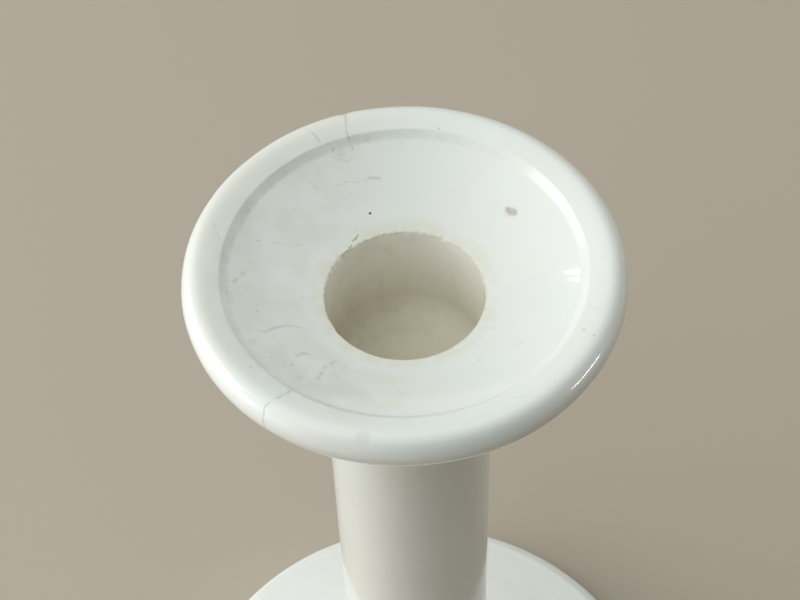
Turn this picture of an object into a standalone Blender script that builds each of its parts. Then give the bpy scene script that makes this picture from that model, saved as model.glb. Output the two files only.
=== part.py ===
"""A candlestick in four turned pieces: dished drip pan, candle socket, stem tube and foot.

Metres, +Z up. The origin is the centre of the foot's underside, and every piece turns about Z.
A profile is a list of (radius, height) points that runs down the outer side of its piece.
"""

import math

import bpy

COLLECTION = "candlestick"
TURN_STEPS = 64
CURVE_STEPS = 6
UNDERSIDE_STEPS = 8
FLARE_STEPS = 10
CORNER_STEPS = 6
COVE_STEPS = 8
EDGE_STEPS = 12
RIM_STEPS = 14
MERGE_DISTANCE = 0.00001
JOINT_GAP = 0.0003

# Foot
FOOT_RADIUS = 0.0464
FOOT_EDGE_RADIUS = 0.0030
FOOT_TOP_RISE = 0.0022
FOOT_COVE_RADIUS = 0.0060
RECESS_RADIUS = 0.0340
RECESS_DEPTH = 0.0020

# Stem
STEM_RADIUS = 0.0121
STEM_BORE_RADIUS = 0.0070
SPIGOT_LENGTH = 0.0060

# Socket: heights are measured down from the mouth, the edge of the hole in the dish
MOUTH_HEIGHT = 0.1436
MOUTH_RADIUS = 0.0110
SOCKET_DEPTH = 0.0180
SOCKET_CORNER_RADIUS = 0.0040
NECK_DROP = 0.0270
SHOULDER_DROP = 0.0068
SHOULDER_RADIUS = 0.0160
COLLAR_RADIUS = 0.0134
COLLAR_LENGTH = 0.0025

# Drip pan: heights are measured up from the mouth
DISH_RADIUS = 0.0236
DISH_RISE = 0.0053
CREASE_RADIUS = 0.0248
CREASE_RISE = 0.0064
RIM_RING_RADIUS = 0.0269
RIM_TUBE_RADIUS = 0.0031
RIM_RISE = 0.0043
RIM_TOP_ANGLE = 45
RIM_UNDER_ANGLE = -115

# Curves between two fixed points: angle in degrees and length of the handle at each end
DISH_HANDLES = ((15, 0.0043), (210, 0.0049))
STEP_HANDLES = ((30, 0.0004), (197, 0.0001))
RIM_TOP_HANDLES = ((17, 0.0022), (135, 0.0015))
UNDERSIDE_HANDLES = ((203, 0.0050), (68, 0.0041))
FLARE_HANDLES = ((249, 0.0048), (90, 0.0070))

FOOT_NECK_HEIGHT = 2 * FOOT_EDGE_RADIUS + FOOT_TOP_RISE + FOOT_COVE_RADIUS
NECK_HEIGHT = MOUTH_HEIGHT - NECK_DROP
SHOULDER_HEIGHT = MOUTH_HEIGHT - SHOULDER_DROP
SPIGOT_RADIUS = STEM_BORE_RADIUS - JOINT_GAP

OPAL_WHITE = (0.80, 0.82, 0.79, 1.0)
OPAL_CREAM = (0.72, 0.69, 0.60, 1.0)
OPAL_ROUGHNESS = 0.12
CREAM_ROUGHNESS = 0.35


def arc(centre, radius, start, end, count):
    """Points on a circle about centre, from the start to the end angle in degrees."""
    points = []
    for step in range(count + 1):
        angle = math.radians(start + (end - start) * step / count)
        points.append((centre[0] + radius * math.cos(angle), centre[1] + radius * math.sin(angle)))
    return points


def curve(start, end, handles, count):
    """Points on the smooth curve between two points, shaped by the handle that leaves each of them."""
    controls = [start]
    for anchor, (angle, length) in zip((start, end), handles):
        direction = (math.cos(math.radians(angle)), math.sin(math.radians(angle)))
        controls.append((anchor[0] + length * direction[0], anchor[1] + length * direction[1]))
    controls.append(end)
    points = []
    for step in range(count + 1):
        level = controls
        while len(level) > 1:
            level = [blend(first, second, step / count) for first, second in zip(level, level[1:])]
        points.append(level[0])
    return points


def blend(first, second, share):
    """The point that lies a share of the way from the first point to the second."""
    return tuple(a + (b - a) * share for a, b in zip(first, second))


def material(name, colour, roughness):
    """A glossy opaque glass colour."""
    made = bpy.data.materials.new(name)
    made.use_nodes = True
    shader = made.node_tree.nodes["Principled BSDF"]
    shader.inputs["Base Color"].default_value = colour
    shader.inputs["Roughness"].default_value = roughness
    shader.inputs["Metallic"].default_value = 0.0
    return made


def turned(name, profile, closed, finish, collection):
    """One piece: its profile turned once about Z. A closed profile makes a ring."""
    edges = [(index, index + 1) for index in range(len(profile) - 1)]
    if closed:
        edges.append((len(profile) - 1, 0))
    mesh = bpy.data.meshes.new(name)
    mesh.from_pydata([(radius, 0.0, height) for radius, height in profile], edges, [])
    mesh.materials.append(finish)
    piece = bpy.data.objects.new(name, mesh)
    collection.objects.link(piece)
    screw = piece.modifiers.new("turn", "SCREW")
    screw.axis = "Z"
    screw.angle = math.tau
    screw.steps = TURN_STEPS
    screw.render_steps = TURN_STEPS
    screw.use_merge_vertices = True
    screw.merge_threshold = MERGE_DISTANCE
    screw.use_smooth_shade = True
    return piece


def drip_pan_profile():
    """A shallow dish with a rounded rim, bored for the candle and recessed below for the socket."""
    rim_centre = (RIM_RING_RADIUS, MOUTH_HEIGHT + RIM_RISE)
    mouth = (MOUTH_RADIUS, MOUTH_HEIGHT)
    dish_edge = (DISH_RADIUS, MOUTH_HEIGHT + DISH_RISE)
    crease = (CREASE_RADIUS, MOUTH_HEIGHT + CREASE_RISE)
    dish = curve(mouth, dish_edge, DISH_HANDLES, CURVE_STEPS)
    rim = arc(rim_centre, RIM_TUBE_RADIUS, RIM_TOP_ANGLE, RIM_UNDER_ANGLE, RIM_STEPS)
    step = curve(dish_edge, crease, STEP_HANDLES, CURVE_STEPS)
    rim_top = curve(crease, rim[0], RIM_TOP_HANDLES, CURVE_STEPS)
    shoulder = (SHOULDER_RADIUS, SHOULDER_HEIGHT)
    underside = curve(rim[-1], shoulder, UNDERSIDE_HANDLES, UNDERSIDE_STEPS)
    seat_radius = COLLAR_RADIUS + JOINT_GAP
    seat_top = SHOULDER_HEIGHT + COLLAR_LENGTH
    recess = [(seat_radius, SHOULDER_HEIGHT), (seat_radius, seat_top), (MOUTH_RADIUS, seat_top)]
    return dish[:-1] + step[:-1] + rim_top[:-1] + rim[:-1] + underside + recess


def candle_socket_profile():
    """A cup with a rounded floor, a collar for the pan's recess and a flared neck above the stem."""
    floor = MOUTH_HEIGHT - SOCKET_DEPTH
    corner_centre = (MOUTH_RADIUS - SOCKET_CORNER_RADIUS, floor + SOCKET_CORNER_RADIUS)
    corner = arc(corner_centre, SOCKET_CORNER_RADIUS, -90, 0, CORNER_STEPS)
    shoulder = SHOULDER_HEIGHT - JOINT_GAP
    collar_top = shoulder + COLLAR_LENGTH
    collar = [(MOUTH_RADIUS, collar_top), (COLLAR_RADIUS, collar_top), (COLLAR_RADIUS, shoulder)]
    flare = curve((SHOULDER_RADIUS, shoulder), (STEM_RADIUS, NECK_HEIGHT), FLARE_HANDLES, FLARE_STEPS)
    spigot_end = NECK_HEIGHT - SPIGOT_LENGTH
    spigot = [(SPIGOT_RADIUS, NECK_HEIGHT), (SPIGOT_RADIUS, spigot_end), (0.0, spigot_end)]
    return [(0.0, floor)] + corner + collar + flare + spigot


def stem_tube_profile():
    """A straight tube between the foot's neck and the socket's neck."""
    top = NECK_HEIGHT - JOINT_GAP
    bottom = FOOT_NECK_HEIGHT + JOINT_GAP
    return [
        (STEM_BORE_RADIUS, top),
        (STEM_RADIUS, top),
        (STEM_RADIUS, bottom),
        (STEM_BORE_RADIUS, bottom),
    ]


def foot_profile():
    """A round foot with a full-round edge, a cove up to the stem, a spigot and a shallow recess below."""
    edge_centre = (FOOT_RADIUS - FOOT_EDGE_RADIUS, FOOT_EDGE_RADIUS)
    cove_centre = (STEM_RADIUS + FOOT_COVE_RADIUS, FOOT_NECK_HEIGHT)
    spigot_top = FOOT_NECK_HEIGHT + SPIGOT_LENGTH
    spigot = [(0.0, spigot_top), (SPIGOT_RADIUS, spigot_top), (SPIGOT_RADIUS, FOOT_NECK_HEIGHT)]
    cove = arc(cove_centre, FOOT_COVE_RADIUS, 180, 270, COVE_STEPS)
    edge = arc(edge_centre, FOOT_EDGE_RADIUS, 90, -90, EDGE_STEPS)
    recess = [(RECESS_RADIUS, 0.0), (RECESS_RADIUS - RECESS_DEPTH, RECESS_DEPTH), (0.0, RECESS_DEPTH)]
    return spigot + cove + edge + recess


def main():
    for existing in list(bpy.data.objects):
        bpy.data.objects.remove(existing)
    collection = bpy.data.collections.new(COLLECTION)
    bpy.context.scene.collection.children.link(collection)
    opal = material("opal_white", OPAL_WHITE, OPAL_ROUGHNESS)
    cream = material("opal_cream", OPAL_CREAM, CREAM_ROUGHNESS)
    turned("drip_pan", drip_pan_profile(), True, opal, collection)
    turned("candle_socket", candle_socket_profile(), False, cream, collection)
    turned("stem_tube", stem_tube_profile(), True, opal, collection)
    turned("foot", foot_profile(), False, opal, collection)


main()
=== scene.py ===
"""The looks of an opal glass candlestick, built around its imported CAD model. Metres, +Z up.

Every piece is turned about Z. Angles around the stem are in degrees, counted from +X towards +Y,
and the camera stands on the -Y side, above the drip pan.
"""

import math

import bmesh
import bpy
import numpy as np
from mathutils import Euler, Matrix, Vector, noise


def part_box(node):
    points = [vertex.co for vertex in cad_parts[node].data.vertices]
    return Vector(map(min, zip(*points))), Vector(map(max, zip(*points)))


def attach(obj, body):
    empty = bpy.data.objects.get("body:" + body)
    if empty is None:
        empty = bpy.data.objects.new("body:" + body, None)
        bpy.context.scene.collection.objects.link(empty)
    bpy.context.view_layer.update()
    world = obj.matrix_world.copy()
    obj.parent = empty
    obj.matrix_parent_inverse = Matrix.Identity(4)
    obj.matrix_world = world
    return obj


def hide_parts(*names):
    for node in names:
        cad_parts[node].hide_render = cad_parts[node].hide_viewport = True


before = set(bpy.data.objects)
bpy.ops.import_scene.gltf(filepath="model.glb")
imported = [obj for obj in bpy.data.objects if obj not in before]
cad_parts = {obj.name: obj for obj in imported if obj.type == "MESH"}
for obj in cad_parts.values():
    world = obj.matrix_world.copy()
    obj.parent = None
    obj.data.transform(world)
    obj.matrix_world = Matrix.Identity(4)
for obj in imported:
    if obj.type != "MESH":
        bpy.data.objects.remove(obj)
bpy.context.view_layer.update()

MM = 0.001

# Driving dimensions, from the frame
RIM_OUTER_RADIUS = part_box("drip_pan")[1].x
FOOT_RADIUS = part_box("foot")[1].x
SPIGOT_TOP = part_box("foot")[1].z
STEM_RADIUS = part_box("stem_tube")[1].x
STEM_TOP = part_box("stem_tube")[1].z
STEM_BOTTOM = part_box("stem_tube")[0].z
SHOULDER_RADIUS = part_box("candle_socket")[1].x
SOCKET_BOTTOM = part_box("candle_socket")[0].z
PAN_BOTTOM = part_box("drip_pan")[0].z

# Heights of the pan, counted from its lower edge, where it meets the socket
MOUTH_Z = PAN_BOTTOM + 6.8 * MM
MOUTH_RADIUS = 11.0 * MM
DISH_RADIUS = 23.6 * MM
DISH_RISE = 5.3 * MM
CREASE_RADIUS = 24.8 * MM
CREASE_RISE = 6.4 * MM
RIM_TUBE_RADIUS = 3.1 * MM
RIM_RING_RADIUS = RIM_OUTER_RADIUS - RIM_TUBE_RADIUS
RIM_RISE = 4.3 * MM
RIM_TOP_ANGLE = 45
RIM_UNDER_ANGLE = -115

SOCKET_FLOOR_Z = MOUTH_Z - 18.0 * MM
SOCKET_CORNER_RADIUS = 4.0 * MM
COLLAR_RADIUS = 13.4 * MM
COLLAR_LENGTH = 2.5 * MM
SPIGOT_LENGTH = 6.0 * MM
JOINT_GAP = 0.3 * MM
SEAM = 0.01 * MM
BORE_RADIUS = 7.0 * MM

FOOT_EDGE_RADIUS = 3.0 * MM
FOOT_COVE_RADIUS = 6.0 * MM
RECESS_RADIUS = 34.0 * MM
RECESS_DEPTH = 2.0 * MM

LIP_RADIUS = 0.2 * MM

# Unevenness of the glass, chips along the mouth's edge, and a nick in the rim by radius and azimuth
WAVE_SIZE = 7.0 * MM
WAVE_DEPTH = 0.04 * MM
CALM_REACH = 2.0 * MM
CHIP_SIZE = 1.1 * MM
CHIP_DEPTH = 0.4 * MM
CHIP_REACH = 0.8 * MM
CHIPPED_SIDES = (35, 140)
NOTCH = (29.0, 105.5)
NOTCH_DEPTH = 0.15 * MM
NOTCH_REACH = 0.9 * MM

# Curves between two fixed points: angle in degrees and length of the handle at each end
DISH_HANDLES = ((15, 4.3 * MM), (210, 4.9 * MM))
STEP_HANDLES = ((30, 0.4 * MM), (197, 0.1 * MM))
RIM_TOP_HANDLES = ((17, 2.2 * MM), (135, 1.5 * MM))
UNDERSIDE_HANDLES = ((203, 5.0 * MM), (68, 4.1 * MM))
FLARE_HANDLES = ((249, 4.8 * MM), (90, 7.0 * MM))

LIGHT_DISTANCE = 1.2

# Name, azimuth, elevation, width and height in metres, power in watts, colour, and what shows it: the
# diffuse light, the glossy reflections or both
LIGHTS = (
    ("low_window", 178, 8, (1.0, 0.40), 7.3, (1.0, 1.0, 0.97), "both"),
    ("low_wall", 185, 13, (1.8, 0.80), 4.6, (1.0, 1.0, 0.97), "both"),
    ("window", 175, 34, (0.50, 0.55), 2.25, (0.88, 0.98, 1.0), "both"),
    ("ceiling", 0, 89.9, (2.2, 2.2), 8.3, (0.98, 1.0, 0.94), "both"),
    ("far_wall", 55, 30, (1.8, 0.9), 6.2, (0.98, 1.0, 0.95), "diffuse"),
    ("front", 222, 60, (0.9, 0.9), 5.0, (0.93, 0.99, 0.99), "diffuse"),
    ("right_wall", 330, 20, (1.2, 0.6), 0.25, (1.0, 0.94, 0.88), "diffuse"),
    ("lamp", 351, 0, (0.34, 0.06), 1.8, (0.95, 1.0, 1.0), "glossy"),
    ("glint", 131.6, 27.4, (0.014, 0.070), 0.17, (0.95, 0.98, 1.0), "both"),
    ("lower_glint", 129.3, 25.3, (0.010, 0.060), 0.03, (0.95, 0.98, 1.0), "both"),
)

CAMERA_LENS = 83.25
CAMERA_PLACE = (0, -155.4 * MM, MOUTH_Z + 198.7 * MM)
CAMERA_PITCH = math.radians(52.15)
CAMERA_YAW = math.radians(0.26)
CAMERA_ROLL = math.radians(-2.30)

FLOOR_COLOUR = (0.46, 0.40, 0.33, 1)
ROOM_COLOUR = (1.0, 0.97, 0.92, 1)
ROOM_STRENGTH = 0.02

GLASS_WHITE = (0.84, 0.86, 0.83, 1)
GLASS_WARM = (0.83, 0.83, 0.785, 1)
GLASS_COOL = (0.81, 0.85, 0.83, 1)
GLASS_BEIGE = (0.82, 0.80, 0.73, 1)
STAIN_GREEN = (0.67, 0.67, 0.60, 1)
STAIN_YELLOW = (0.74, 0.70, 0.55, 1)
CHIP_CREAM = (0.76, 0.70, 0.56, 1)
BORE_TOP = (0.99, 0.965, 0.89, 1)
# Painted shade: the colour that the hole's wall darkens to at its floor
BORE_DEPTH_SHADE = (0.70, 0.65, 0.54, 1)
# Green dirt; along the crease it also serves as painted shade
DIRT_AND_SHADE_GREEN = (0.34, 0.35, 0.26, 1)
DIRT_GREY = (0.26, 0.27, 0.24, 1)
DIRT_BROWN = (0.25, 0.21, 0.15, 1)
SPOT_BROWN = (0.34, 0.25, 0.16, 1)
NEARLY_BLACK = (0.03, 0.03, 0.03, 1)

# Marks on the pan, by radius in mm and azimuth in degrees. A third number is a height above the mouth.
CRACKS = (
    ((23.2, 106.5), (24.0, 106.5), (24.6, 107), (25.7, 106.6), (26.9, 106), (28.0, 105.6), (28.9, 105.5)),
    ((25.1, 116.5), (26.3, 116.6), (27.0, 117), (27.7, 117.6)),
    (
        (24.8, 233), (25.8, 233), (26.7, 232.6), (27.4, 232), (28.0, 231.5), (28.5, 231.3), (29.0, 231.3),
        (29.4, 231.5), (29.75, 231.7, 5.5), (29.97, 232, 4.8), (29.97, 232.3, 3.9), (29.7, 232.8, 3.0),
    ),
)
SCRATCHES = (
    ((21.2, 203), (20.4, 204), (18.9, 202), (17.1, 201.5), (16.0, 202), (15.4, 203.5)),
    ((19.2, 105), (19.1, 102), (18.9, 99.5), (18.5, 97)),
    ((18.7, 219), (17.5, 219), (17.3, 220)),
    ((15.2, 231), (17.0, 230.5), (18.9, 233), (20.2, 234)),
    ((21.6, 176), (22.5, 180), (22.9, 182)),
)
FAINT_LINES = (
    ((19.5, 117.5), (19.5, 112.5), (18.9, 107.5)),
    ((23.8, 113.5), (22.8, 113.5), (21.9, 109)),
    ((22.6, 120.5), (21.9, 124), (21.1, 125.5), (19.9, 125)),
    ((19.4, 157.5), (16.0, 150)),
    ((12.1, 327.5), (13.9, 330)),
    ((18.5, 321), (18.8, 325)),
    ((26.5, 1), (26.7, 359)),
    ((27.5, 58.5), (29.0, 59)),
    ((19.1, 253), (21.3, 259)),
    ((26.0, 300), (26.6, 301.5), (26.9, 303)),
    ((25.4, 341), (27.2, 340)),
    ((25.3, 168), (26.9, 163)),
    ((13.2, 118), (12.6, 128)),
)
DARK_FLAKES = (
    ((12.25, 121), (12.0, 123), (11.8, 126)),
    ((11.45, 129), (11.3, 132)),
    ((11.2, 134), (11.15, 141)),
)
GREY_DOTS = (
    (21.1, 160), (20.4, 193.5), (20.4, 222.5), (25.8, 219), (21.9, 216.5), (15.9, 307),
    (26.0, 332), (27.6, 331), (23.9, 286), (25.1, 77), (24.0, 113),
)
SMUDGES = (
    ((24.3, 104.5), 1.0), ((24.1, 101), 0.8), ((23.2, 111), 0.9), ((23.6, 187.5), 0.9),
    ((23.6, 190.5), 0.8),
    ((23.7, 182), 0.6), ((21.5, 229.5), 0.7), ((22.8, 208), 0.9), ((24.0, 132), 0.7), ((24.0, 152), 0.7),
    ((28.4, 258), 1.3),
)
BROWN_SPOTS = (((19.0, 38.6), 0.62), ((19.05, 37.4), 0.70), ((19.2, 36.2), 0.60))
BLACK_DOT = (14.5, 108)

# Half the width of each kind of mark
CRACK_WIDTH = 0.26 * MM
SCRATCH_WIDTH = 0.34 * MM
HAIR_WIDTH = 0.20 * MM
FLAKE_WIDTH = 0.22 * MM
GREY_DOT_RADIUS = 0.27 * MM
BLACK_DOT_RADIUS = 0.26 * MM

# Surface of every piece
IOR = 1.5
SPECULAR_LEVEL = 0.35
COAT_WEIGHT = 0.75
COAT_ROUGHNESS = 0.06
BASE_ROUGHNESS = 0.30
ROUGHNESS_SPREAD = 0.12
DIRT_ROUGHNESS = 0.35
RELIEF_UNIT = 0.1 * MM

AROUND = 384
SHARP_ANGLE = math.radians(40)


def arc(centre, radius, start, end, count):
    """Points on a circle about centre, from the start to the end angle in degrees."""
    angles = np.radians(np.linspace(start, end, count + 1))
    return [(centre[0] + radius * math.cos(a), centre[1] + radius * math.sin(a)) for a in angles]


def curve(start, end, handles, count):
    """Points on the smooth curve between two points, shaped by the handle that leaves each of them."""
    controls = [np.array(start)]
    for anchor, (angle, length) in zip((start, end), handles):
        turn = math.radians(angle)
        controls.append(np.array(anchor) + length * np.array((math.cos(turn), math.sin(turn))))
    controls.append(np.array(end))
    points = []
    for share in np.linspace(0, 1, count + 1):
        level = controls
        while len(level) > 1:
            level = [a + (b - a) * share for a, b in zip(level, level[1:])]
        points.append(tuple(level[0]))
    return points


def turned(name, profile, closed, finish, warp=None):
    """A piece made of one ring of points for each (radius, height) of its profile, moved by warp."""
    mesh = bmesh.new()
    rings = []
    for radius, height in profile:
        if radius < 1e-7:
            rings.append([mesh.verts.new((0, 0, height))])
            continue
        ring = []
        for step in range(AROUND):
            angle = math.tau * step / AROUND
            r, z = warp(radius, height, angle) if warp else (radius, height)
            ring.append(mesh.verts.new((r * math.cos(angle), r * math.sin(angle), z)))
        rings.append(ring)
    pairs = list(zip(rings, rings[1:]))
    if closed:
        pairs.append((rings[-1], rings[0]))
    for upper, lower in pairs:
        for step in range(AROUND):
            after = (step + 1) % AROUND
            corners = [upper[step % len(upper)], lower[step % len(lower)]]
            corners += [lower[after % len(lower)], upper[after % len(upper)]]
            mesh.faces.new(list(dict.fromkeys(corners)))
    bmesh.ops.recalc_face_normals(mesh, faces=mesh.faces)
    data = bpy.data.meshes.new(name)
    mesh.to_mesh(data)
    mesh.free()
    data.shade_smooth()
    data.set_sharp_from_angle(angle=SHARP_ANGLE)
    data.materials.append(finish)
    piece = bpy.data.objects.new(name, data)
    bpy.context.scene.collection.objects.link(piece)
    return piece


class Finish:
    """One material, with a short call for each kind of shader node that it uses."""

    def __init__(self, name):
        self.material = bpy.data.materials.new(name)
        self.material.use_nodes = True
        self.tree = self.material.node_tree
        self.shader = self.tree.nodes["Principled BSDF"]
        self.place = self.add("ShaderNodeTexCoord").outputs["Object"]
        self.flat = self.vector("MULTIPLY", self.place, (1, 1, 0))
        self.radius = self.vector("LENGTH", self.flat)
        self.heading = self.vector("NORMALIZE", self.flat)
        split = self.add("ShaderNodeSeparateXYZ")
        self.tree.links.new(self.place, split.inputs[0])
        self.height = split.outputs["Z"]

    def add(self, kind, **settings):
        node = self.tree.nodes.new(kind)
        for setting, value in settings.items():
            setattr(node, setting, value)
        return node

    def feed(self, socket, value):
        if isinstance(value, bpy.types.NodeSocket):
            self.tree.links.new(value, socket)
        else:
            socket.default_value = value

    def math(self, operation, *values, clamp=False):
        node = self.add("ShaderNodeMath", operation=operation, use_clamp=clamp)
        for socket, value in zip(node.inputs, values):
            self.feed(socket, value)
        return node.outputs[0]

    def vector(self, operation, *values):
        node = self.add("ShaderNodeVectorMath", operation=operation)
        for socket, value in zip(node.inputs, values):
            self.feed(socket, value)
        return node.outputs["Value" if operation in ("LENGTH", "DISTANCE", "DOT_PRODUCT") else "Vector"]

    def scaled(self, vector, share):
        node = self.add("ShaderNodeVectorMath", operation="SCALE")
        self.feed(node.inputs["Vector"], vector)
        self.feed(node.inputs["Scale"], share)
        return node.outputs["Vector"]

    def ease(self, value, none, full):
        """0 to 1 as the value goes from none to full, which may be the lower of the two."""
        node = self.add("ShaderNodeMapRange", interpolation_type="SMOOTHSTEP")
        rising = full > none
        settings = (value, min(none, full), max(none, full), float(not rising), float(rising))
        for socket, setting in zip(node.inputs, settings):
            self.feed(socket, setting)
        return node.outputs[0]

    def band(self, value, low, high, soft):
        """1 between low and high, falling to 0 over the soft distance outside them."""
        return self.both(self.ease(value, low - soft, low), self.ease(value, high + soft, high))

    def side(self, azimuth, full, none):
        """1 within the full angle of an azimuth, falling to 0 at the none angle."""
        turn = math.radians(azimuth)
        facing = self.vector("DOT_PRODUCT", self.heading, (math.cos(turn), math.sin(turn), 0))
        return self.ease(facing, math.cos(math.radians(none)), math.cos(math.radians(full)))

    def both(self, *masks):
        """The product of masks and strengths."""
        product = masks[0]
        for mask in masks[1:]:
            product = self.math("MULTIPLY", product, mask)
        return product

    def most(self, *masks):
        largest = masks[0]
        for mask in masks[1:]:
            largest = self.math("MAXIMUM", largest, mask)
        return largest

    def noise(self, size, detail=3.0, stretch=(1, 1, 1), place=None):
        """Noise from 0 to 1, whose features are about the given size."""
        node = self.add("ShaderNodeTexNoise")
        node.inputs["Scale"].default_value = 1 / size
        node.inputs["Detail"].default_value = detail
        self.feed(node.inputs["Vector"], self.vector("MULTIPLY", place or self.place, stretch))
        return node.outputs["Fac"]

    def wobbled(self, size, amount):
        """The place, moved about by noise, which makes drawn marks uneven."""
        node = self.add("ShaderNodeTexNoise")
        node.inputs["Scale"].default_value = 1 / size
        self.feed(node.inputs["Vector"], self.place)
        shift = self.vector("SUBTRACT", node.outputs["Color"], (0.5, 0.5, 0.5))
        return self.vector("ADD", self.place, self.scaled(shift, amount))

    def specks(self, spacing, share):
        """Small round specks of mixed sizes, in a share of the cells of the given size."""
        node = self.add("ShaderNodeTexVoronoi")
        node.inputs["Scale"].default_value = 1 / spacing
        self.feed(node.inputs["Vector"], self.place)
        chosen = self.ease(self.vector("DOT_PRODUCT", node.outputs["Color"], (1, 0, 0)), share, share * 0.5)
        return self.both(chosen, self.ease(node.outputs["Distance"], 0.13, 0.04))

    def stroke(self, place, points, width):
        """1 along the line through the points, fading out at the given width."""
        nearest = None
        for start, end in zip(points, points[1:]):
            run = end - start
            offset = self.vector("SUBTRACT", place, start)
            share = self.vector("DOT_PRODUCT", offset, run / run.length_squared)
            along = self.scaled(run, self.math("MAXIMUM", self.math("MINIMUM", share, 1.0), 0.0))
            away = self.vector("DISTANCE", offset, along)
            nearest = self.math("MINIMUM", nearest, away) if nearest else away
        return self.ease(nearest, width, width * 0.25)

    def strokes(self, place, lines, width):
        """The strokes along several lines of (radius, azimuth) points on the pan."""
        return self.most(*(self.stroke(place, [on_pan(*p) for p in line], width) for line in lines))

    def spots(self, place, spots, growth=1.0):
        """Round spots on the pan, each a place and a radius in mm."""
        return self.most(*(self.spot(place, on_pan(*p), growth * size * MM) for p, size in spots))

    def spot(self, place, centre, radius):
        return self.ease(self.vector("DISTANCE", place, centre), radius, radius * 0.4)

    def mix(self, share, first, second):
        node = self.add("ShaderNodeMix", data_type="RGBA")
        factor, first_colour, second_colour = node.inputs[0], node.inputs[6], node.inputs[7]
        self.feed(factor, share)
        self.feed(first_colour, first)
        self.feed(second_colour, second)
        return node.outputs[2]

    def faded(self, mask, strength):
        return self.math("MULTIPLY", mask, strength)

    def done(self, colour, roughness, relief):
        """Sets the shader. Relief is a height in tenths of a millimetre."""
        self.feed(self.shader.inputs["Base Color"], colour)
        self.feed(self.shader.inputs["Roughness"], roughness)
        bump = self.add("ShaderNodeBump")
        bump.inputs["Strength"].default_value = 1.0
        bump.inputs["Distance"].default_value = RELIEF_UNIT
        self.feed(bump.inputs["Height"], relief)
        self.feed(self.shader.inputs["Normal"], bump.outputs["Normal"])
        self.shader.inputs["IOR"].default_value = IOR
        self.shader.inputs["Specular IOR Level"].default_value = SPECULAR_LEVEL
        self.shader.inputs["Coat Weight"].default_value = COAT_WEIGHT
        self.shader.inputs["Coat Roughness"].default_value = COAT_ROUGHNESS
        return self.material


def on_pan(radius, azimuth, rise=None):
    """A place on the pan in metres, from mm and degrees. Without a rise it lies on the upper side."""
    if rise is None:
        rise = np.interp(radius * MM, *zip(*PAN_TOP)) / MM
    turn = math.radians(azimuth)
    return Vector((radius * math.cos(turn), radius * math.sin(turn), rise)) * MM + Vector((0, 0, MOUTH_Z))


def opal(finish):
    """The clean glass: its colour with faint clouds, its roughness and its ripples."""
    clouds = finish.ease(finish.noise(11 * MM, 2), 0.42, 0.68)
    colour = finish.mix(finish.faded(clouds, 0.55), GLASS_WHITE, GLASS_WARM)
    elsewhere = finish.vector("ADD", finish.place, (0.3, 0, 0))
    cool = finish.ease(finish.noise(17 * MM, 1, place=elsewhere), 0.45, 0.7)
    colour = finish.mix(finish.faded(cool, 0.45), colour, GLASS_COOL)
    grime = finish.both(finish.specks(2.6 * MM, 0.28), finish.ease(finish.noise(9 * MM), 0.45, 0.6))
    colour = finish.mix(finish.faded(grime, 0.16), colour, DIRT_GREY)
    roughness = finish.math("MULTIPLY_ADD", finish.noise(2.5 * MM, 4), ROUGHNESS_SPREAD, BASE_ROUGHNESS)
    ripples = finish.math("MULTIPLY", finish.noise(4 * MM, 1), 0.06)
    pits = finish.math("MULTIPLY_ADD", finish.noise(0.6 * MM, 2), 0.004, ripples)
    return colour, roughness, pits


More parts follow.
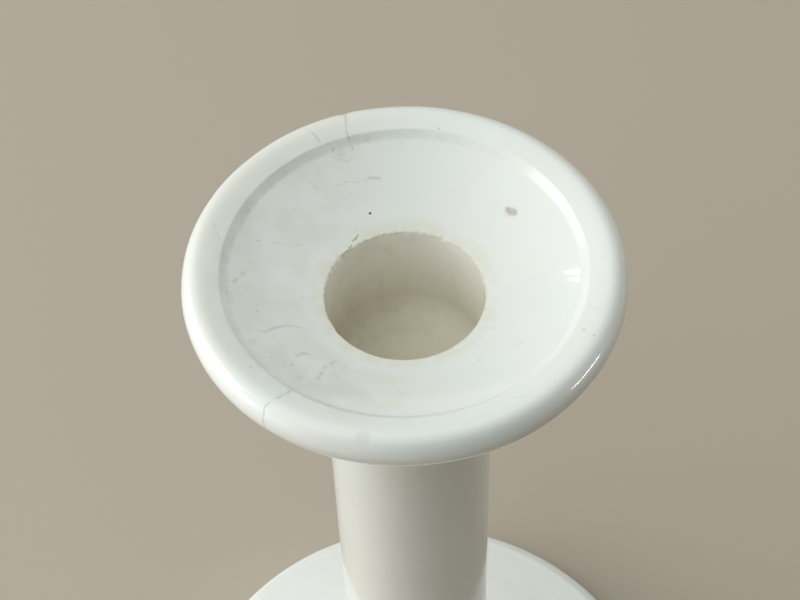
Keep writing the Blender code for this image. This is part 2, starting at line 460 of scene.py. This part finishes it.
def pan_glass():
    """The pan: its stains and the painted shade along its crease, then its marks, then the edge and the
    wall of its hole.
    """
    finish = Finish("pan_glass")
    colour, roughness, relief = opal(finish)
    radius = finish.radius
    dish = finish.ease(finish.height, MOUTH_Z - 0.05 * MM, MOUTH_Z + 0.05 * MM)

    rim_tint = finish.both(finish.side(152, 40, 75), finish.band(radius, 24.8 * MM, 28.0 * MM, 0.8 * MM))
    colour = finish.mix(finish.faded(rim_tint, 0.55), colour, GLASS_BEIGE)
    patches = finish.ease(finish.noise(4 * MM, 4), 0.35, 0.65)
    old = finish.both(finish.side(185, 50, 95), finish.band(radius, 15 * MM, 24.4 * MM, 3 * MM), patches)
    colour = finish.mix(finish.faded(old, 0.30), colour, STAIN_GREEN)
    yellow = finish.both(finish.side(245, 18, 40), finish.band(radius, 16 * MM, 21 * MM, 3 * MM), patches)
    colour = finish.mix(finish.faded(yellow, 0.17), colour, STAIN_YELLOW)

    grain = finish.ease(finish.noise(1.3 * MM, 5), 0.38, 0.68)
    # Dirt along the crease at the dish's edge, also painted shade of the step: it is left off the right
    # side, where the step is lit.
    crease_band = finish.band(radius, 23.9 * MM, 24.5 * MM, 0.5 * MM)
    crease = finish.both(crease_band, finish.side(160, 75, 130), grain, dish)
    colour = finish.mix(finish.faded(crease, 0.09), colour, DIRT_AND_SHADE_GREEN)
    speckled = finish.band(radius, 21.5 * MM, 25.5 * MM, 2 * MM)
    specks = finish.both(finish.specks(0.9 * MM, 0.75), finish.side(221, 16, 34), speckled)
    colour = finish.mix(finish.faded(specks, 0.5), colour, DIRT_GREY)

    rough_place = finish.wobbled(0.7 * MM, 0.5 * MM)
    line_place = finish.wobbled(2.4 * MM, 0.45 * MM)
    broken = finish.ease(finish.noise(0.9 * MM, 3), 0.30, 0.55)
    cracks = finish.strokes(line_place, CRACKS, CRACK_WIDTH)
    scratches = finish.strokes(line_place, SCRATCHES, SCRATCH_WIDTH)
    hairs = finish.strokes(line_place, FAINT_LINES, HAIR_WIDTH)
    smudges = finish.spots(rough_place, SMUDGES)
    colour = finish.mix(finish.faded(smudges, 0.13), colour, DIRT_AND_SHADE_GREEN)
    colour = finish.mix(finish.both(scratches, broken, 0.26), colour, DIRT_GREY)
    colour = finish.mix(finish.both(hairs, broken, 0.17), colour, DIRT_GREY)
    colour = finish.mix(finish.both(cracks, broken, 0.25), colour, DIRT_BROWN)
    dots = finish.most(*(finish.spot(rough_place, on_pan(*p), GREY_DOT_RADIUS) for p in GREY_DOTS))
    colour = finish.mix(finish.faded(dots, 0.34), colour, DIRT_GREY)
    black_dot = finish.spot(finish.place, on_pan(*BLACK_DOT), BLACK_DOT_RADIUS)
    colour = finish.mix(black_dot, colour, NEARLY_BLACK)
    brown_halo = finish.spots(rough_place, BROWN_SPOTS, 1.5)
    brown = finish.spots(rough_place, BROWN_SPOTS)
    brown_grain = finish.ease(finish.noise(0.5 * MM), 0.25, 0.5)
    colour = finish.mix(finish.faded(brown_halo, 0.20), colour, DIRT_BROWN)
    colour = finish.mix(finish.both(brown, brown_grain, 0.48), colour, SPOT_BROWN)

    colour, worn = mouth_and_bore(finish, colour, rough_place)
    dirty = finish.most(worn, finish.faded(crease, 0.6), smudges)
    roughness = finish.math("MULTIPLY_ADD", dirty, DIRT_ROUGHNESS, roughness)
    relief = finish.math("MULTIPLY_ADD", cracks, -0.3, relief)
    relief = finish.math("MULTIPLY_ADD", finish.both(worn, finish.noise(0.5 * MM, 3)), 0.25, relief)
    return finish.done(colour, roughness, relief)


def mouth_and_bore(finish, colour, rough_place):
    """Adds the cream, chipped edge of the mouth and the stained wall of the hole below it, darkened with
    depth as painted shade.
    """
    split = finish.add("ShaderNodeSeparateXYZ")
    finish.feed(split.inputs[0], rough_place)
    rough_radius = finish.vector("LENGTH", finish.vector("MULTIPLY", rough_place, (1, 1, 0)))
    over = finish.math("POWER", finish.math("SUBTRACT", rough_radius, MOUTH_RADIUS), 2.0)
    under = finish.math("POWER", finish.math("SUBTRACT", split.outputs["Z"], MOUTH_Z), 2.0)
    edge_distance = finish.math("SQRT", finish.math("ADD", over, under))
    outside_hole = finish.ease(finish.radius, 11.02 * MM, 11.10 * MM)
    near_top = finish.ease(finish.height, MOUTH_Z - 1 * MM, MOUTH_Z - 0.2 * MM)
    top_side = finish.both(outside_hole, near_top)

    patches = finish.ease(finish.noise(2.2 * MM, 4), 0.3, 0.62)
    halo = finish.both(finish.band(finish.radius, 11 * MM, 11.8 * MM, 1.8 * MM), patches, top_side)
    colour = finish.mix(finish.faded(halo, 0.45), colour, STAIN_YELLOW)
    in_hole = finish.ease(finish.radius, 11.12 * MM, 11.04 * MM)
    below_edge = finish.ease(finish.height, MOUTH_Z - 0.02 * MM, MOUTH_Z - 0.5 * MM)
    above_floor = finish.ease(finish.height, SOCKET_FLOOR_Z - 1 * MM, SOCKET_FLOOR_Z - 0.5 * MM)
    inside = finish.both(in_hole, below_edge, above_floor)
    colour = finish.mix(inside, colour, bore_wall(finish))

    cream = finish.ease(edge_distance, 0.36 * MM, 0.12 * MM)
    colour = finish.mix(finish.faded(cream, 0.65), colour, CHIP_CREAM)
    fleck_noise = finish.ease(finish.noise(0.7 * MM, 3), 0.52, 0.62)
    flecks = finish.both(cream, fleck_noise, finish.side(128, 35, 75))
    colour = finish.mix(finish.faded(flecks, 0.40), colour, DIRT_BROWN)
    flakes = finish.strokes(rough_place, DARK_FLAKES, FLAKE_WIDTH)
    colour = finish.mix(finish.both(flakes, top_side, 0.60), colour, DIRT_BROWN)
    return colour, finish.most(cream, finish.faded(inside, 0.7))


def bore_wall(finish):
    """The colour inside the hole: painted shade that darkens it with depth, streaks on one side and dirt
    around its floor.
    """
    # Painted shade: the wall darkens from its colour at the mouth to its colour at the floor.
    wall = finish.mix(finish.ease(finish.height, MOUTH_Z, SOCKET_FLOOR_Z), BORE_TOP, BORE_DEPTH_SHADE)
    streaks = finish.ease(finish.noise(2.2 * MM, 4, (1, 1, 0.45)), 0.45, 0.66)
    wall = finish.mix(finish.both(streaks, finish.side(165, 50, 100), 0.07), wall, DIRT_BROWN)
    blotches = finish.ease(finish.noise(3 * MM, 5), 0.45, 0.7)
    wall = finish.mix(finish.faded(blotches, 0.05), wall, DIRT_BROWN)
    floor_ring = finish.band(finish.radius, 7.6 * MM, 10.2 * MM, 1.2 * MM)
    floor_grain = finish.ease(finish.noise(1.5 * MM, 4), 0.3, 0.6)
    near_floor = finish.ease(finish.height, SOCKET_FLOOR_Z + 4.5 * MM, SOCKET_FLOOR_Z + 2 * MM)
    floor_dirt = finish.both(floor_ring, finish.side(140, 60, 110), floor_grain, near_floor)
    return finish.mix(finish.faded(floor_dirt, 0.10), wall, DIRT_BROWN)


def socket_glass():
    """The socket, stained inside like the wall of the pan's hole and darkened with depth as painted shade.
    """
    finish = Finish("socket_glass")
    colour, roughness, relief = opal(finish)
    colour, worn = mouth_and_bore(finish, colour, finish.place)
    roughness = finish.math("MULTIPLY_ADD", worn, DIRT_ROUGHNESS, roughness)
    return finish.done(colour, roughness, relief)


def stem_glass():
    """The stem, with faint marks drawn out along it."""
    finish = Finish("stem_glass")
    colour, roughness, relief = opal(finish)
    drawn = finish.noise(3 * MM, 2, (1, 1, 0.06))
    colour = finish.mix(finish.faded(finish.ease(drawn, 0.4, 0.7), 0.30), colour, GLASS_WARM)
    relief = finish.math("MULTIPLY_ADD", drawn, 0.12, relief)
    return finish.done(colour, roughness, relief)


def foot_glass():
    """The foot, with faint turned rings towards its edge and dust where it meets the stem."""
    finish = Finish("foot_glass")
    colour, roughness, relief = opal(finish)
    rings_place = finish.add("ShaderNodeCombineXYZ")
    finish.feed(rings_place.inputs["X"], finish.radius)
    rings = finish.noise(1.6 * MM, 2, place=rings_place.outputs[0])
    outer = finish.ease(finish.radius, 30 * MM, 40 * MM)
    colour = finish.mix(finish.both(finish.ease(rings, 0.35, 0.7), outer, 0.16), colour, STAIN_GREEN)
    dust_grain = finish.ease(finish.noise(2 * MM, 4), 0.3, 0.7)
    dust = finish.both(finish.ease(finish.radius, 22 * MM, 13 * MM), dust_grain)
    colour = finish.mix(finish.faded(dust, 0.35), colour, STAIN_YELLOW)
    relief = finish.math("MULTIPLY_ADD", finish.both(rings, outer), 0.10, relief)
    return finish.done(colour, roughness, relief)


def pan_top():
    """Points (radius, height above the mouth) on the pan's upper side, from mouth to widest ring."""
    rim_centre = (RIM_RING_RADIUS, RIM_RISE)
    dish_edge = (DISH_RADIUS, DISH_RISE)
    crease = (CREASE_RADIUS, CREASE_RISE)
    lip = arc((MOUTH_RADIUS + LIP_RADIUS, -LIP_RADIUS), LIP_RADIUS, 180, 90 + DISH_HANDLES[0][0], 6)
    dish = curve(lip[-1], dish_edge, DISH_HANDLES, 64)
    step = curve(dish_edge, crease, STEP_HANDLES, 16)
    rim = arc(rim_centre, RIM_TUBE_RADIUS, RIM_TOP_ANGLE, 0, 14)
    rim_top = curve(crease, rim[0], RIM_TOP_HANDLES, 20)
    return lip[:-1] + dish[:-1] + step[:-1] + rim_top[:-1] + rim


def worn_pan(radius, height, angle):
    """A place on the pan, moved to make the surface uneven, chip the mouth's edge and nick the rim."""
    spot = Vector((radius * math.cos(angle), radius * math.sin(angle), height))
    above_seat = min(1, max(0, height - PAN_BOTTOM) / CALM_REACH)
    past_mouth = min(1, max(0, radius - MOUTH_RADIUS) / CALM_REACH)
    wave = WAVE_DEPTH * noise.noise(spot / WAVE_SIZE) * above_seat * past_mouth
    near_mouth = max(0, 1 - math.hypot(radius - MOUTH_RADIUS, height - MOUTH_Z) / CHIP_REACH)
    weakness = max(math.cos(angle - math.radians(side)) for side in CHIPPED_SIDES)
    strength = 0.2 + 0.8 * max(0, weakness)
    chip = CHIP_DEPTH * near_mouth * max(0, noise.noise(spot / CHIP_SIZE) - 0.05) * strength
    notch = NOTCH_DEPTH * max(0, 1 - (spot - NOTCH_PLACE).length / NOTCH_REACH)
    return radius + wave + chip - notch, height + wave - 0.6 * chip - notch


def drip_pan_profile():
    """The pan's section: its top and rim, its underside, the recess for the socket's collar, its hole."""
    top = [(radius, MOUTH_Z + rise) for radius, rise in PAN_TOP]
    rim = arc((RIM_RING_RADIUS, MOUTH_Z + RIM_RISE), RIM_TUBE_RADIUS, 0, RIM_UNDER_ANGLE, 32)
    under = curve(rim[-1], (SHOULDER_RADIUS, PAN_BOTTOM), UNDERSIDE_HANDLES, 24)
    seat_radius = COLLAR_RADIUS + SEAM
    seat_top = PAN_BOTTOM + COLLAR_LENGTH
    recess = [(seat_radius, PAN_BOTTOM), (seat_radius, seat_top)]
    bore = [(MOUTH_RADIUS, z) for z in np.linspace(seat_top, top[0][1], 24)[:-1]]
    return top + rim[1:-1] + under + recess + bore


def candle_socket_profile():
    """The socket's section: floor, rounded corner and wall, collar, flared neck and spigot."""
    corner_centre = (MOUTH_RADIUS - SOCKET_CORNER_RADIUS, SOCKET_FLOOR_Z + SOCKET_CORNER_RADIUS)
    floor = [(r, SOCKET_FLOOR_Z) for r in np.linspace(0, corner_centre[0], 12)[:-1]]
    corner = arc(corner_centre, SOCKET_CORNER_RADIUS, -90, 0, 16)
    shoulder = PAN_BOTTOM - SEAM
    collar_top = PAN_BOTTOM + COLLAR_LENGTH - SEAM
    wall = [(MOUTH_RADIUS, z) for z in np.linspace(corner[-1][1], collar_top, 30)[1:]]
    neck_z = SOCKET_BOTTOM + SPIGOT_LENGTH
    flare = curve((SHOULDER_RADIUS, shoulder), (STEM_RADIUS, neck_z), FLARE_HANDLES, 40)
    collar = [(COLLAR_RADIUS, collar_top), (COLLAR_RADIUS, shoulder)]
    spigot_radius = BORE_RADIUS - JOINT_GAP
    spigot = [(spigot_radius, neck_z), (spigot_radius, SOCKET_BOTTOM), (0, SOCKET_BOTTOM)]
    return floor + corner + wall + collar + flare + spigot


def stem_profile():
    """The tube's section, reaching almost to its neighbours."""
    top = STEM_TOP + JOINT_GAP - SEAM
    bottom = STEM_BOTTOM - JOINT_GAP + SEAM
    outer = [(STEM_RADIUS, z) for z in np.linspace(top, bottom, 60)]
    return [(BORE_RADIUS, top)] + outer + [(BORE_RADIUS, bottom)]


def foot_profile():
    """The foot's section: spigot, cove, top, full-round edge and the recess below."""
    neck_z = SPIGOT_TOP - SPIGOT_LENGTH
    spigot_radius = BORE_RADIUS - JOINT_GAP
    spigot = [(0, SPIGOT_TOP), (spigot_radius, SPIGOT_TOP), (spigot_radius, neck_z)]
    cove = arc((STEM_RADIUS + FOOT_COVE_RADIUS, neck_z), FOOT_COVE_RADIUS, 180, 270, 24)
    edge = arc((FOOT_RADIUS - FOOT_EDGE_RADIUS, FOOT_EDGE_RADIUS), FOOT_EDGE_RADIUS, 90, -90, 40)
    top = [tuple(point) for point in np.linspace(cove[-1], edge[0], 60)[1:-1]]
    recess = [(RECESS_RADIUS, 0), (RECESS_RADIUS - RECESS_DEPTH, RECESS_DEPTH), (0, RECESS_DEPTH)]
    return spigot + cove + top + edge + recess


def add_light(name, azimuth, elevation, size, power, colour, shown_by):
    """A soft light on a sphere about the mouth, facing the mouth."""
    data = bpy.data.lights.new(name, "AREA")
    data.shape = "RECTANGLE"
    data.size, data.size_y = size
    data.energy = power
    data.color = colour
    light = bpy.data.objects.new(name, data)
    light.visible_glossy = shown_by != "diffuse"
    light.visible_diffuse = shown_by != "glossy"
    around, up = math.radians(azimuth), math.radians(elevation)
    aim = Vector((0, 0, MOUTH_Z))
    offset = Vector((math.cos(up) * math.cos(around), math.cos(up) * math.sin(around), math.sin(up)))
    light.location = aim + LIGHT_DISTANCE * offset
    light.rotation_euler = (-offset).to_track_quat("-Z", "Y").to_euler()
    bpy.context.scene.collection.objects.link(light)


def add_camera():
    data = bpy.data.cameras.new("camera")
    data.sensor_width = 36
    data.lens = CAMERA_LENS
    camera = bpy.data.objects.new("camera", data)
    camera.location = CAMERA_PLACE
    aimed = Euler((math.pi / 2 - CAMERA_PITCH, 0, CAMERA_YAW)).to_matrix()
    rolled = Euler((0, 0, CAMERA_ROLL)).to_matrix()
    camera.rotation_euler = (aimed @ rolled).to_euler()
    bpy.context.scene.collection.objects.link(camera)
    bpy.context.scene.camera = camera


def add_floor():
    bpy.ops.mesh.primitive_plane_add(size=4)
    floor = bpy.context.object
    floor.name = "floor"
    made = bpy.data.materials.new("floor")
    made.use_nodes = True
    shader = made.node_tree.nodes["Principled BSDF"]
    shader.inputs["Base Color"].default_value = FLOOR_COLOUR
    shader.inputs["Roughness"].default_value = 0.8
    floor.data.materials.append(made)


def add_world():
    world = bpy.data.worlds.new("studio")
    world.use_nodes = True
    background = world.node_tree.nodes["Background"]
    background.inputs["Color"].default_value = ROOM_COLOUR
    background.inputs["Strength"].default_value = ROOM_STRENGTH
    bpy.context.scene.world = world


PAN_TOP = pan_top()
NOTCH_PLACE = on_pan(*NOTCH)
for node, profile, closed, material, warp in (
    ("drip_pan", drip_pan_profile(), True, pan_glass(), worn_pan),
    ("candle_socket", candle_socket_profile(), False, socket_glass(), None),
    ("stem_tube", stem_profile(), True, stem_glass(), None),
    ("foot", foot_profile(), False, foot_glass(), None),
):
    piece = turned(node + "_glass", profile, closed, material, warp)
    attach(piece, "root")
    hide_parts(node)
add_floor()
add_world()
add_camera()
for light in LIGHTS:
    add_light(*light)
bpy.context.scene.view_settings.view_transform = "Standard"
